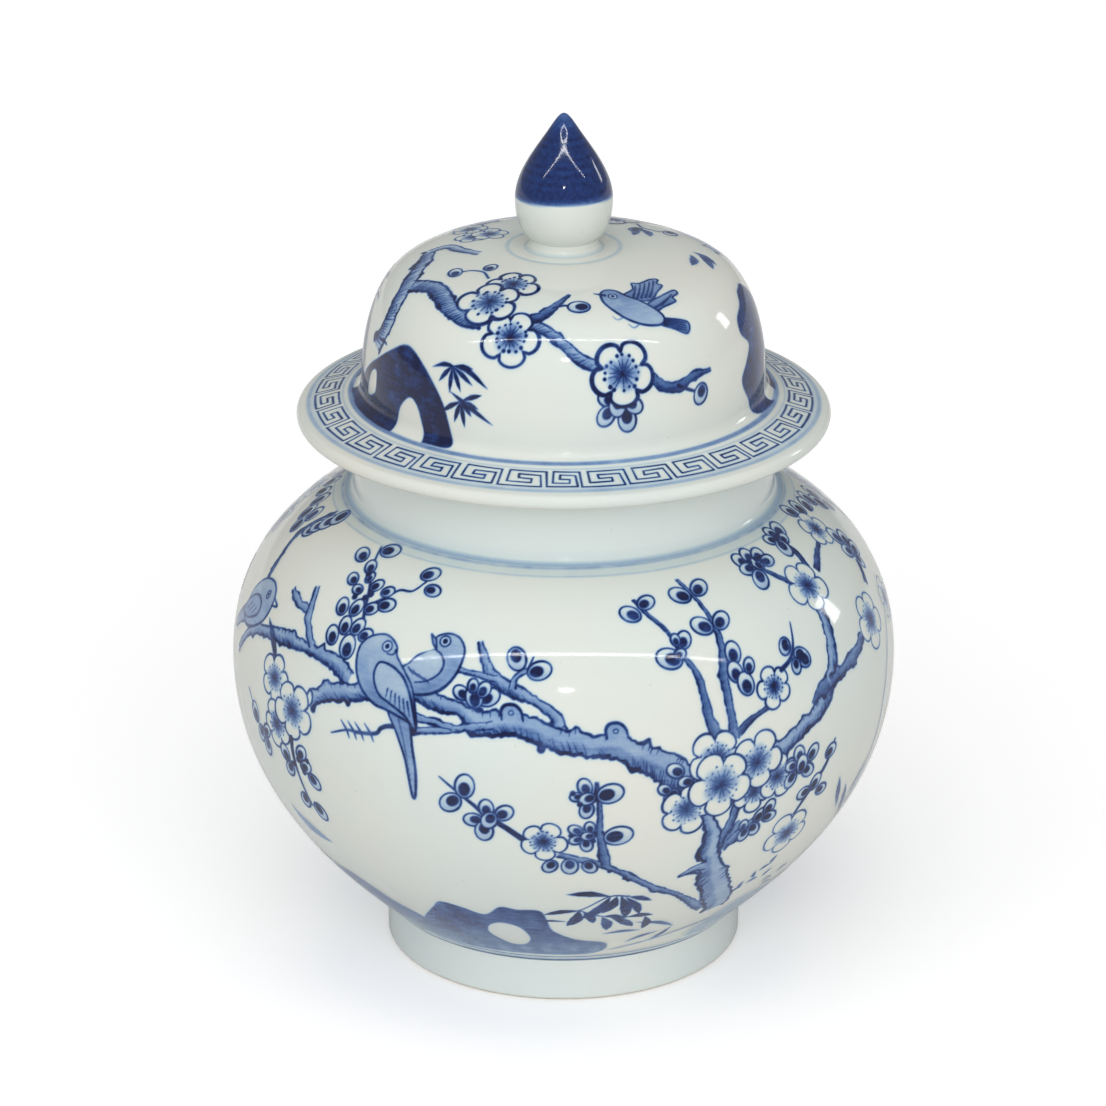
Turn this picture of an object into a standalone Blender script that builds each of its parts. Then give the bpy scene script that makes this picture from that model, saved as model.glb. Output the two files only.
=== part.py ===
"""Ginger jar: a lidded porcelain jar, turned in seven pieces.

The jar is a lower and an upper bowl luted at the widest line, a foot ring below and a neck
collar above. The lid is a shell with a wide brim, a locating ring that drops into the neck, and
a bud-shaped finial. Outlines are (radius, height) pairs in millimetres, turned about +Z.
The jar stands on z = 0. The lid's outlines are measured from the lid's own underside.
"""
import math

import bmesh
import bpy
from mathutils import Vector
from mathutils.geometry import interpolate_bezier

MM = 0.001
SEGMENTS = 48
GAP = 0.3                   # clearance left between pieces that touch
WALL = 5.0                  # thickness of the turned wall

# Driving dimensions, in millimetres
BELLY_RADIUS = 125.0
BELLY_HEIGHT = 116.0        # height of the widest line, where the two bowls are luted
FOOT_RADIUS = 67.5
FOOT_INNER_RADIUS = 60.0
FOOT_HEIGHT = 16.7
FLOOR_THICKNESS = 6.0
SHOULDER_RADIUS = 82.0      # where the shoulder meets the neck
SHOULDER_HEIGHT = 181.0
NECK_RADIUS = 78.5
NECK_INNER_RADIUS = 73.0
NECK_TOP = 208.3
BRIM_RADIUS = 99.4
DOME_RADIUS = 75.0
DOME_FOOT = 16.0            # height at which the dome's side starts, above the lid's underside
CROWN_HEIGHT = 66.6         # top of the dome, above the lid's underside
CROWN_RADIUS = 14.0         # flat spot at the top of the dome that carries the finial
LOCATING_RADIUS = 71.5
LOCATING_DEPTH = 14.3
FINIAL_RADIUS = 18.1
FINIAL_HEIGHT = 50.7

BODY_BOTTOM = FOOT_HEIGHT + GAP
LID_SEAT = NECK_TOP + GAP


def clear_scene():
    for old in list(bpy.data.objects):
        bpy.data.objects.remove(old, do_unlink=True)


def curve(start, handle_a, handle_b, end, steps):
    """Points of one cubic curve from start to end, both ends included."""
    ends = [Vector((r, 0.0, z)) for r, z in (start, handle_a, handle_b, end)]
    return [(p.x, p.z) for p in interpolate_bezier(*ends, steps)]


def arc(centre, radius, from_degrees, to_degrees, steps):
    """Points of a circular arc in the outline's plane, both ends included."""
    points = []
    for i in range(steps + 1):
        angle = math.radians(from_degrees + (to_degrees - from_degrees) * i / steps)
        points.append((centre[0] + radius * math.cos(angle), centre[1] + radius * math.sin(angle)))
    return points


def glaze(name, colour, roughness):
    material = bpy.data.materials.new(name)
    material.use_nodes = True
    shader = material.node_tree.nodes["Principled BSDF"]
    shader.inputs["Base Color"].default_value = (*colour, 1.0)
    shader.inputs["Roughness"].default_value = roughness
    shader.inputs["Metallic"].default_value = 0.0
    material.diffuse_color = (*colour, 1.0)
    return material


def turned(name, outline, material, closed_section=True, parent=None):
    """Turn an outline about the Z axis into one closed solid.

    A closed section is a ring whose outline runs all the way round its wall. An open outline
    starts and ends on the axis.
    """
    work = bmesh.new()
    verts = [work.verts.new((r * MM, 0.0, z * MM)) for r, z in outline]
    edges = [work.edges.new(pair) for pair in zip(verts, verts[1:])]
    if closed_section:
        edges.append(work.edges.new((verts[-1], verts[0])))
    bmesh.ops.spin(work, geom=verts + edges, axis=(0, 0, 1), cent=(0, 0, 0),
                   steps=SEGMENTS, angle=math.tau, use_merge=True)
    bmesh.ops.remove_doubles(work, verts=work.verts, dist=1e-6)
    bmesh.ops.recalc_face_normals(work, faces=work.faces)
    mesh = bpy.data.meshes.new(name)
    work.to_mesh(mesh)
    work.free()
    mesh.shade_smooth()
    mesh.set_sharp_from_angle(angle=math.radians(40))
    mesh.materials.append(material)
    piece = bpy.data.objects.new(name, mesh)
    piece.parent = parent
    bpy.context.scene.collection.objects.link(piece)
    return piece


def foot_ring(material):
    """The ring that the jar stands on, with a rounded outer edge and a flat standing face."""
    edge = 2.0
    outline = [(FOOT_INNER_RADIUS, FOOT_HEIGHT), (FOOT_INNER_RADIUS + 0.5, edge), (61.5, 0.0)]
    outline += arc((FOOT_RADIUS - edge, edge), edge, -90, 0, 3)
    outline += [(FOOT_RADIUS, FOOT_HEIGHT)]
    return turned("foot_ring", outline, material)


def lower_body(material):
    """The lower bowl, from the flat floor up to the widest line."""
    top = BELLY_HEIGHT - GAP
    inside = BELLY_RADIUS - WALL
    floor = BODY_BOTTOM + FLOOR_THICKNESS
    outline = [(0.0, BODY_BOTTOM + 1.0), (FOOT_INNER_RADIUS - 4.0, BODY_BOTTOM)]
    outline += curve((68.0, BODY_BOTTOM), (84.0, 34.0), (BELLY_RADIUS, 63.0), (BELLY_RADIUS, top), 12)
    outline += curve((inside, top), (inside, 66.0), (82.0, 40.0), (66.0, floor + 2.0), 10)
    outline += [(60.0, floor), (0.0, floor)]
    return turned("jar_lower_body", outline, material, closed_section=False)


def upper_body(material):
    """The upper bowl, from the widest line over the shoulder to the seat of the neck."""
    inside = BELLY_RADIUS - WALL
    mouth = NECK_INNER_RADIUS + 0.5
    outline = curve((BELLY_RADIUS, BELLY_HEIGHT), (BELLY_RADIUS, 138.0), (117.0, 163.0),
                    (SHOULDER_RADIUS, SHOULDER_HEIGHT), 12)
    outline += curve((mouth, SHOULDER_HEIGHT - 3.5), (112.0, 158.5), (inside, 136.0),
                     (inside, BELLY_HEIGHT), 10)
    outline.insert(12, (mouth, SHOULDER_HEIGHT))
    return turned("jar_upper_body", outline, material)


def neck(material):
    """The upright collar, coved at its root, with a rounded lip that carries the lid."""
    bottom = SHOULDER_HEIGHT + GAP
    cove = 3.0
    lip = 1.8
    outline = [(NECK_INNER_RADIUS, bottom)]
    outline += arc((NECK_RADIUS + cove, bottom + cove), cove, 270, 180, 4)
    outline += arc((NECK_RADIUS - lip, NECK_TOP - lip), lip, 0, 90, 3)
    outline += [(NECK_INNER_RADIUS + 1.5, NECK_TOP), (NECK_INNER_RADIUS, NECK_TOP - 1.5)]
    return turned("neck", outline, material)


def lid_shell(material, lid):
    """The dome and its wide sloping brim, open below and hollow to the crown."""
    ceiling = CROWN_HEIGHT - WALL
    inside = DOME_RADIUS - WALL
    inside_foot = LOCATING_RADIUS - WALL
    outline = [(0.0, ceiling)]
    outline += curve((CROWN_RADIUS, ceiling), (36.0, 61.3), (52.0, 57.8), (58.0, 53.2), 5)
    outline += curve((58.0, 53.2), (67.0, 46.0), (inside, 30.0), (inside, DOME_FOOT), 6)[1:]
    outline += [(inside_foot, 6.0), (inside_foot, 0.0)]
    outline += arc((BRIM_RADIUS - 3.0, 3.0), 3.0, -90, 62, 6)
    outline += curve((78.8, 10.8), (76.6, 11.4), (DOME_RADIUS, 13.2), (DOME_RADIUS, DOME_FOOT), 5)
    outline += curve((DOME_RADIUS, DOME_FOOT), (75.0, 32.0), (71.0, 50.0), (62.0, 57.2), 8)[1:]
    outline += curve((62.0, 57.2), (54.0, 63.6), (36.0, 67.0), (CROWN_RADIUS, CROWN_HEIGHT), 7)[1:]
    outline += [(0.0, CROWN_HEIGHT)]
    return turned("lid_shell", outline, material, closed_section=False, parent=lid)


def locating_ring(material, lid):
    """The ring under the lid that drops into the neck and keeps the lid centred."""
    bevel = 1.2
    inside = LOCATING_RADIUS - WALL + 0.5
    outline = [
        (inside, -GAP),
        (inside, -LOCATING_DEPTH),
        (LOCATING_RADIUS - bevel, -LOCATING_DEPTH),
        (LOCATING_RADIUS, -LOCATING_DEPTH + bevel),
        (LOCATING_RADIUS, -GAP),
    ]
    return turned("lid_locating_ring", outline, material, parent=lid)


def finial(material, lid):
    """The bud-shaped knob: a short collar on the crown, a full round bud and a pointed tip."""
    base = CROWN_HEIGHT + GAP
    tip = base + FINIAL_HEIGHT
    collar = (12.7, base + 3.4)
    widest = (FINIAL_RADIUS, tip - 32.3)
    cone = (7.6, tip - 9.2)
    outline = [(0.0, base), (13.4, base), (13.8, base + 0.8), (12.9, base + 1.8)]
    outline += curve(collar, (16.4, base + 6.6), (FINIAL_RADIUS, base + 11.4), widest, 6)
    outline += curve(widest, (FINIAL_RADIUS, tip - 24.1), (12.5, tip - 16.3), cone, 7)[1:]
    outline += curve(cone, (4.0, tip - 4.0), (2.0, tip), (0.0, tip), 5)[1:]
    return turned("finial", outline, material, closed_section=False, parent=lid)


def build():
    clear_scene()
    white_glaze = glaze("white_glaze", (0.74, 0.77, 0.73), 0.12)
    cobalt_glaze = glaze("cobalt_glaze", (0.05, 0.08, 0.30), 0.12)

    lid = bpy.data.objects.new("lid_axis", None)
    lid.location = (0.0, 0.0, LID_SEAT * MM)
    bpy.context.scene.collection.objects.link(lid)

    foot_ring(white_glaze)
    lower_body(white_glaze)
    upper_body(white_glaze)
    neck(white_glaze)
    lid_shell(white_glaze, lid)
    locating_ring(white_glaze, lid)
    finial(cobalt_glaze, lid)


build()
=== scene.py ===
"""Ginger jar: the glazed, cobalt-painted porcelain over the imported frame.

Each turned piece is remade finely from its outline, in millimetres. The painting is laid out on
unrolled canvases, whose columns go round the jar and whose rows go up its side, and becomes a
thin film on the glaze wherever a canvas holds ink. A place on a canvas is (degrees, mm up).
"""

import math

import bmesh
import bpy
import numpy as np
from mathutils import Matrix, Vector
from mathutils.geometry import interpolate_bezier


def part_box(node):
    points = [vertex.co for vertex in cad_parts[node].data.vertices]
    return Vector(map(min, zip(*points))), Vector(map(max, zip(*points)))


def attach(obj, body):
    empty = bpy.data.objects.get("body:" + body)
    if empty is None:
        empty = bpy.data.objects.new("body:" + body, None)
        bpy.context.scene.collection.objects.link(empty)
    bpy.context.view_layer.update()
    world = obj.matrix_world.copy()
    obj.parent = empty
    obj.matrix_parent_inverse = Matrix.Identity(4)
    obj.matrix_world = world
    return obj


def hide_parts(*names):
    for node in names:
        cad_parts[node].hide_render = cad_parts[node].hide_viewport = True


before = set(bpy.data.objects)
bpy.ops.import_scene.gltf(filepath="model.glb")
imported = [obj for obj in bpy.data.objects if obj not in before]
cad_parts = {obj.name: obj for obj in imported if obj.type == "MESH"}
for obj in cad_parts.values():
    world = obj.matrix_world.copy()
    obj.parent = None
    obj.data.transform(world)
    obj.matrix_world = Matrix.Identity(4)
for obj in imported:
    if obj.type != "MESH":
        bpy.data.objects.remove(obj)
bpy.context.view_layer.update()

MM = 0.001
FILM = 0.06                 # height of the painting above the glaze, mm
FAINTEST = 0.02             # ink below this is left out of the film
ROUND = 384                 # facets round every turned piece
JAR_COLUMNS, JAR_CELL = 2160, 0.36      # columns round a canvas, and mm from row to row
LID_COLUMNS, LID_CELL = 1800, 0.34
SOFT = 0.42                 # mm over which the edge of a stroke fades
rng = np.random.default_rng(7)


# ---------------------------------------------------------------- outlines (radius, height), mm

def box_mm(node):
    low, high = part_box(node)
    return high[0] / MM, low[2] / MM, high[2] / MM


widest, BELLY_HEIGHT, SHOULDER_HEIGHT = box_mm("jar_upper_body")
BELLY_RADIUS = widest - 2 * FILM
BODY_BOTTOM = box_mm("jar_lower_body")[1]
FOOT_RADIUS = box_mm("foot_ring")[0]
NECK_TOP = box_mm("neck")[2]
BRIM_RADIUS, LID_SEAT, CROWN = box_mm("lid_shell")
TIP = box_mm("finial")[2]
SHOULDER_RADIUS = 82.0
NECK_RADIUS = 78.5
NECK_INNER = 73.0
DOME_RADIUS = 75.0
WALL = 5.0


def curve(start, handle_a, handle_b, end, steps):
    """A cubic curve's points, with one more close to each end so that shading runs on past it."""
    ends = [Vector((r, 0.0, z)) for r, z in (start, handle_a, handle_b, end)]
    points = [(p.x, p.z) for p in interpolate_bezier(*ends, steps)]
    first = tuple(0.98 * a + 0.02 * b for a, b in zip(points[0], points[1]))
    last = tuple(0.98 * a + 0.02 * b for a, b in zip(points[-1], points[-2]))
    return points[:1] + [first] + points[1:-1] + [last] + points[-1:]


def arc(centre, radius, from_degrees, to_degrees, steps):
    angles = np.radians(np.linspace(from_degrees, to_degrees, steps + 1))
    return [(centre[0] + radius * math.cos(a), centre[1] + radius * math.sin(a)) for a in angles]


def belly_below():
    return curve((68.0, BODY_BOTTOM), (84.0, 34.0), (BELLY_RADIUS, 63.0),
                 (BELLY_RADIUS, BELLY_HEIGHT), 60)


def belly_above():
    return curve((BELLY_RADIUS, BELLY_HEIGHT), (BELLY_RADIUS, 138.0), (117.0, 163.0),
                 (SHOULDER_RADIUS, SHOULDER_HEIGHT), 56)


def brim_top(start=-84):
    """The brim from start degrees on its rounded lip, up its slope to the foot of the dome."""
    lip = arc((BRIM_RADIUS - 3.1, LID_SEAT + 3.1), 3.0, start, 62, 18)
    slope = curve(lip[-1], (90.0, LID_SEAT + 7.7), (84.0, LID_SEAT + 9.4), (78.8, LID_SEAT + 10.8), 12)
    cove = curve((78.8, LID_SEAT + 10.8), (76.6, LID_SEAT + 11.4), (DOME_RADIUS, LID_SEAT + 13.2),
                 (DOME_RADIUS, LID_SEAT + 16.0), 12)
    return lip + slope[1:] + cove[1:]


def dome_side():
    side = curve((DOME_RADIUS, LID_SEAT + 16.0), (75.0, LID_SEAT + 32.0), (71.0, LID_SEAT + 50.0),
                 (62.0, LID_SEAT + 57.2), 30)
    top = curve((62.0, LID_SEAT + 57.2), (54.0, LID_SEAT + 63.6), (36.0, LID_SEAT + 67.0),
                (14.0, CROWN), 30)
    return side + top[1:]


# ---------------------------------------------------------------- meshes

def set_attribute(mesh, name, values):
    layer = mesh.attributes.new(name, "FLOAT", "POINT")
    layer.data.foreach_set("value", np.asarray(values, dtype=np.float32).ravel())


def new_mesh(name, positions, quads, material, values):
    mesh = bpy.data.meshes.new(name)
    mesh.vertices.add(len(positions))
    mesh.vertices.foreach_set("co", (positions * MM).astype(np.float32).ravel())
    mesh.loops.add(quads.size)
    mesh.loops.foreach_set("vertex_index", quads.astype(np.int32).ravel())
    mesh.polygons.add(len(quads))
    mesh.polygons.foreach_set("loop_start", np.arange(0, quads.size, 4, dtype=np.int32))
    for key, value in values.items():
        set_attribute(mesh, key, value)
    mesh.update(calc_edges=True)
    mesh.validate()
    mesh.shade_smooth()
    mesh.set_sharp_from_angle(angle=math.radians(38))
    mesh.materials.append(material)
    piece = bpy.data.objects.new(name, mesh)
    bpy.context.scene.collection.objects.link(piece)
    return piece


def swept(radius, height, angles):
    """Vertex places, ring by ring. The front of the jar is at no angle."""
    places = [radius * np.sin(angles), -radius * np.cos(angles), height + 0.0 * angles]
    return np.stack(places, -1).reshape(-1, 3)


def cell_quads(row, col, above, beside, columns):
    """The quads between two rings, as vertex numbers in a grid with this many columns."""
    corners = ((row, col), (row, beside), (above, beside), (above, col))
    return np.stack([r * columns + c for r, c in corners], axis=-1).reshape(-1, 4)


def turned(name, node, body, outline, material, ink=None, bare=None, closed=True):
    """A fine turned piece that stands for one CAD node. ink and bare are functions of place."""
    points = np.array(outline)
    angles = np.linspace(0.0, math.tau, ROUND, endpoint=False)
    radius = points[:, 0][:, None]
    height = points[:, 1][:, None]
    rows = np.arange(len(points) if closed else len(points) - 1)[:, None]
    cols = np.arange(ROUND)
    quads = cell_quads(rows, cols, (rows + 1) % len(points), (cols + 1) % ROUND, ROUND)
    even = 0.0 * (radius + angles)
    values = {
        "ink": (ink(radius, height, angles) if ink else 0.0) + even,
        "bare": (bare(radius, height) if bare else 0.0) + even,
    }
    piece = new_mesh(name, swept(radius, height, angles), quads, material, values)
    if not closed:
        close_poles(piece)
    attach(piece, body)
    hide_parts(node)


def close_poles(piece):
    """Merge the rings of an outline that starts or ends on the axis into single points."""
    work = bmesh.new()
    work.from_mesh(piece.data)
    bmesh.ops.remove_doubles(work, verts=work.verts, dist=1e-7)
    work.to_mesh(piece.data)
    work.free()


# ---------------------------------------------------------------- materials

def node(tree, kind, **inputs):
    made = tree.nodes.new(kind)
    for key, value in inputs.items():
        made.inputs[key.replace("_", " ")].default_value = value
    return made


def colour_ramp(tree, *stops):
    """A colour ramp through stops of (position, colour), given from its start to its end."""
    made = tree.nodes.new("ShaderNodeValToRGB")
    elements = made.color_ramp.elements
    for element, (position, colour) in zip(elements, (stops[0], stops[-1])):
        element.position = position
        element.color = (*colour, 1.0)
    for position, colour in stops[1:-1]:
        elements.new(position).color = (*colour, 1.0)
    return made


def mixed(tree, factor, below, above, blend="MIX"):
    """The result of mixing a colour socket with a second socket or a plain colour."""
    made = tree.nodes.new("ShaderNodeMix")
    made.data_type = "RGBA"
    made.blend_type = blend
    tree.links.new(below, made.inputs["A"])
    for key, value in (("Factor", factor), ("B", above)):
        if isinstance(value, bpy.types.NodeSocket):
            tree.links.new(value, made.inputs[key])
        else:
            made.inputs[key].default_value = value
    return made.outputs["Result"]


def stored(tree, name):
    made = tree.nodes.new("ShaderNodeAttribute")
    made.attribute_name = name
    return made.outputs["Fac"]


def porcelain(name, cold, warm):
    """Glazed porcelain. The ink attribute is how much cobalt lies under the glaze."""
    material = bpy.data.materials.new(name)
    material.use_nodes = True
    tree = material.node_tree
    link = tree.links.new
    shader = tree.nodes["Principled BSDF"]
    place = tree.nodes.new("ShaderNodeTexCoord").outputs["Object"]

    drift = node(tree, "ShaderNodeTexNoise", Scale=9.0, Detail=3.0)
    glaze = colour_ramp(tree, (0.35, cold), (0.68, warm))
    link(drift.outputs["Fac"], glaze.inputs["Fac"])

    grain = node(tree, "ShaderNodeTexNoise", Scale=620.0, Detail=4.0, Roughness=0.65)
    uneven = node(tree, "ShaderNodeMapRange", To_Min=0.82, To_Max=1.18)
    link(grain.outputs["Fac"], uneven.inputs["Value"])
    density = tree.nodes.new("ShaderNodeMath")
    density.operation = "MULTIPLY"
    link(stored(tree, "ink"), density.inputs[0])
    link(uneven.outputs["Result"], density.inputs[1])
    cobalt = colour_ramp(tree, (0.0, (1.0, 1.0, 1.0)), (0.08, (0.85, 0.92, 0.97)),
                         (0.22, (0.58, 0.71, 0.91)), (0.42, (0.27, 0.41, 0.74)),
                         (0.62, (0.085, 0.18, 0.47)), (0.82, (0.017, 0.054, 0.25)),
                         (1.0, (0.004, 0.010, 0.072)))
    link(density.outputs["Value"], cobalt.inputs["Fac"])
    painted = mixed(tree, 1.0, glaze.outputs["Color"], cobalt.outputs["Color"], "MULTIPLY")

    specks = node(tree, "ShaderNodeTexVoronoi", Scale=95.0)
    fleck = node(tree, "ShaderNodeMapRange", From_Min=0.030, From_Max=0.055, To_Min=0.22, To_Max=0.0)
    link(specks.outputs["Distance"], fleck.inputs["Value"])
    flecked = mixed(tree, fleck.outputs["Result"], painted, (0.42, 0.33, 0.22, 1.0))
    bare = stored(tree, "bare")
    link(mixed(tree, bare, flecked, (0.60, 0.50, 0.36, 1.0)), shader.inputs["Base Color"])

    gloss = node(tree, "ShaderNodeMapRange", To_Min=0.07, To_Max=0.62)
    link(bare, gloss.inputs["Value"])
    link(gloss.outputs["Result"], shader.inputs["Roughness"])

    swell = node(tree, "ShaderNodeTexNoise", Scale=34.0, Detail=2.0)
    relief = node(tree, "ShaderNodeBump", Strength=0.10, Distance=0.0006)
    link(swell.outputs["Fac"], relief.inputs["Height"])
    link(relief.outputs["Normal"], shader.inputs["Normal"])
    for texture in (drift, grain, specks, swell):
        link(place, texture.inputs["Vector"])
    shader.inputs["IOR"].default_value = 1.5
    shader.inputs["Specular IOR Level"].default_value = 0.5
    return material


# ---------------------------------------------------------------- the unrolled canvas

class Canvas:
    """A painted zone, unrolled. Rows go up the outline in equal steps, columns go round."""

    def __init__(self, outline, columns, step):
        points = np.array(outline)
        lengths = np.hypot(*np.diff(points, axis=0).T)
        along = np.concatenate([[0.0], np.cumsum(lengths)])
        self.length = along[-1]
        self.rows = int(self.length / step) + 1
        self.step = self.length / (self.rows - 1)
        self.columns = columns
        self.up = np.arange(self.rows) * self.step
        self.radius = np.interp(self.up, along, points[:, 0])
        self.height = np.interp(self.up, along, points[:, 1])
        run = np.gradient(self.radius)
        rise = np.gradient(self.height)
        size = np.hypot(run, rise)
        self.out = rise / size
        self.over = -run / size
        self.ink = np.zeros((self.rows, columns))

    def radius_at(self, up):
        return np.interp(up, self.up, self.radius)

    def place(self, centre, points, turn=0.0):
        """Local points (mm right, mm up), turned and set down round a centre, as places."""
        cos, sin = math.cos(math.radians(turn)), math.sin(math.radians(turn))
        per_mm = 180.0 / math.pi / self.radius_at(centre[1])
        return [(centre[0] + (x * cos - y * sin) * per_mm, centre[1] + x * sin + y * cos)
                for x, y in points]

    def window(self, places, reach):
        """Rows and columns within reach mm of the places, and each cell's degrees and mm up."""
        places = np.asarray(places)
        low, high = places[:, 1].min() - reach, places[:, 1].max() + reach
        first = max(0, int(low / self.step))
        last = min(self.rows - 1, int(high / self.step) + 1)
        if last <= first:
            return None
        wide = math.degrees(reach / max(8.0, self.radius[first:last + 1].min()))
        per_degree = self.columns / 360.0
        left = int(math.floor((places[:, 0].min() - wide) * per_degree))
        right = int(math.ceil((places[:, 0].max() + wide) * per_degree))
        rows = np.arange(first, last + 1)
        cols = np.arange(left, right + 1)
        return rows, cols, cols / per_degree, rows * self.step

    def span(self, rows, degrees, up, a, b):
        """For cells and segments a to b: distance in mm, and how far along the nearest point is."""
        scale = np.radians(self.radius[rows])[:, None, None]
        bx = (b[:, 0] - a[:, 0]) * scale
        by = (b[:, 1] - a[:, 1]) + 0.0 * scale
        cx = (degrees[None, :, None] - a[:, 0]) * scale
        cy = up[:, None, None] - a[:, 1]
        size = bx * bx + by * by + 1e-12
        along = np.clip((cx * bx + cy * by) / size, 0.0, 1.0)
        return np.hypot(cx - along * bx, cy - along * by), along

    def lay(self, rows, cols, cover, tone, over):
        index = np.ix_(rows, cols % self.columns)
        was = self.ink[index]
        if over:
            self.ink[index] = was * (1.0 - cover) + tone * cover
        else:
            self.ink[index] = np.maximum(was, tone * cover)


def smooth(places, closed=False, per_span=6):
    """More places along a smooth curve through the given ones."""
    p = np.asarray(places, dtype=float)
    if len(p) < 3 and not closed:
        t = np.linspace(0.0, 1.0, per_span + 1)[:, None]
        return p[0] * (1 - t) + p[-1] * t
    if closed:
        p = np.vstack([p[-1:], p, p[:2]])
    else:
        p = np.vstack([2 * p[0] - p[1], p, 2 * p[-1] - p[-2]])
    t = np.linspace(0.0, 1.0, per_span, endpoint=False)[:, None]
    spans = []
    for a, b, c, d in zip(p, p[1:], p[2:], p[3:]):
        spans.append(0.5 * (2 * b + (c - a) * t + (2 * a - 5 * b + 4 * c - d) * t ** 2
                            + (3 * b - a - 3 * c + d) * t ** 3))
    line = np.vstack(spans)
    return line if closed else np.vstack([line, p[-2]])


def stroke(canvas, places, widths, tone=0.92, closed=False, straight=False):
    """A brush stroke through the places. widths are spread evenly along it, in mm."""
    line = np.asarray(places, dtype=float) if straight else smooth(places, closed)
    if closed:
        line = np.vstack([line, line[:1]])
    widths = np.atleast_1d(widths)
    width = np.interp(np.linspace(0, 1, len(line)), np.linspace(0, 1, len(widths)), widths)
    if len(widths) == 1:
        width = np.full(len(line), widths[0])
    found = canvas.window(line, width.max() / 2 + SOFT)
    if found is None:
        return
    rows, cols, degrees, up = found
    gap, along = canvas.span(rows, degrees, up, line[:-1], line[1:])
    half = (width[:-1] * (1 - along) + width[1:] * along) / 2
    cover = np.clip(0.5 + (half - gap) / SOFT, 0.0, 1.0).max(axis=2)
    canvas.lay(rows, cols, cover, tone, False)


def wash(canvas, places, tone, top=None, straight=False, soft=SOFT):
    """A wash inside a closed outline, of one tone or grading up to another at its top."""
    line = np.asarray(places, dtype=float) if straight else smooth(places, closed=True)
    found = canvas.window(line, soft)
    if found is None:
        return
    rows, cols, degrees, up = found
    a, b = line, np.roll(line, -1, axis=0)
    gap = canvas.span(rows, degrees, up, a, b)[0].min(axis=2)
    x, y = degrees[None, :, None], up[:, None, None]
    crosses = (a[:, 1] > y) != (b[:, 1] > y)
    with np.errstate(divide="ignore", invalid="ignore"):
        where = (b[:, 0] - a[:, 0]) * (y - a[:, 1]) / (b[:, 1] - a[:, 1]) + a[:, 0]
    inside = ((crosses & (x < where)).sum(axis=2) % 2) == 1
    cover = np.clip(0.5 + np.where(inside, gap, -gap) / soft, 0.0, 1.0)
    if top is not None:
        low, high = line[:, 1].min(), line[:, 1].max()
        share = (up - low) / max(0.1, high - low)
        tone = (tone + (top - tone) * share)[:, None]
    canvas.lay(rows, cols, cover, tone, True)


def outlined(canvas, places, tone, top, widths, dark, straight=False):
    """A wash with a line drawn round it."""
    wash(canvas, places, tone, top, straight)
    stroke(canvas, places, widths, dark, closed=True, straight=straight)


def dot(canvas, place, size, tone):
    stroke(canvas, [place, (place[0], place[1] + 0.05)], size, tone, straight=True)


def dots(canvas, places, size, tone):
    for place in places:
        dot(canvas, place, size, tone)


# ---------------------------------------------------------------- motifs

def oval(wide, tall):
    angles = np.linspace(0, math.tau, 14, endpoint=False)
    return [(wide * math.cos(a), tall * math.sin(a)) for a in angles]


def blossom(canvas, centre, size, turn, edge=0.78):
    """A five-petalled flower seen from the front, size mm from its centre to a petal's tip."""
    reach = 1.0 + rng.uniform(-0.22, 0.16, 5)
    rim = []
    for angle in np.linspace(0, math.tau, 60, endpoint=False):
        petal = reach[int(angle / math.tau * 5) % 5]
        lobe = abs(math.sin(2.5 * angle)) ** 0.5
        r = size * (0.66 + 0.34 * lobe * petal)
        rim.append((r * math.cos(angle), r * math.sin(angle)))
    outline = canvas.place(centre, rim, turn)
    wash(canvas, outline, 0.0, straight=True)
    for share, tone in ((0.50, 0.18), (0.40, 0.38), (0.24, 0.70)):
        heart = [(x * share / 0.83, y * share / 0.83) for x, y in rim]
        wash(canvas, canvas.place(centre, heart, turn + 20), tone, soft=1.6)
    stroke(canvas, outline, edge * rng.uniform(0.7, 1.3, 12), 0.96, closed=True, straight=True)
    for k in range(5):
        angle = math.tau * k / 5
        seam = [(size * s * math.cos(angle), size * s * math.sin(angle)) for s in (0.68, 0.54)]
        stroke(canvas, canvas.place(centre, seam, turn), (0.8, 0.3), 0.85)
    stamens = 16
    for k in range(stamens):
        angle = math.tau * (k + rng.uniform(-0.25, 0.25)) / stamens
        long = rng.uniform(0.34, 0.46)
        hair = [(size * s * math.cos(angle), size * s * math.sin(angle)) for s in (0.05, long)]
        stroke(canvas, canvas.place(centre, hair, turn), (0.75, 0.4), 0.90)
        far = size * (long + rng.uniform(0.08, 0.14))
        tip = (far * math.cos(angle), far * math.sin(angle))
        dot(canvas, canvas.place(centre, [tip], turn)[0], edge * rng.uniform(0.7, 1.2), 0.95)
    dot(canvas, centre, 1.8, 1.0)


def blossoms(canvas, places):
    for degrees, up, size, turn in places:
        blossom(canvas, (degrees, up), size, turn)


def bud(canvas, centre, size, turn):
    """A round bud: an outlined oval with a dark heart towards its lower end."""
    narrow = 0.76 * size
    skin = canvas.place(centre, oval(narrow, size), turn)
    wash(canvas, skin, 0.26, 0.0)
    heart = [(x, y - size * 0.26) for x, y in oval(narrow * 0.60, size * 0.58)]
    wash(canvas, canvas.place(centre, heart, turn), 0.97, soft=0.6)
    stroke(canvas, skin, (0.55, 0.9, 0.6), 0.96, closed=True)


def buds(canvas, places):
    for degrees, up, size, turn in places:
        bud(canvas, (degrees, up), size, turn)


def leaf(canvas, places, width, tone=0.9):
    """A pointed leaf or a single loaded brush mark."""
    stroke(canvas, places, (0.15, 0.6 * width, width, 0.75 * width, 0.1), tone)


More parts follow.
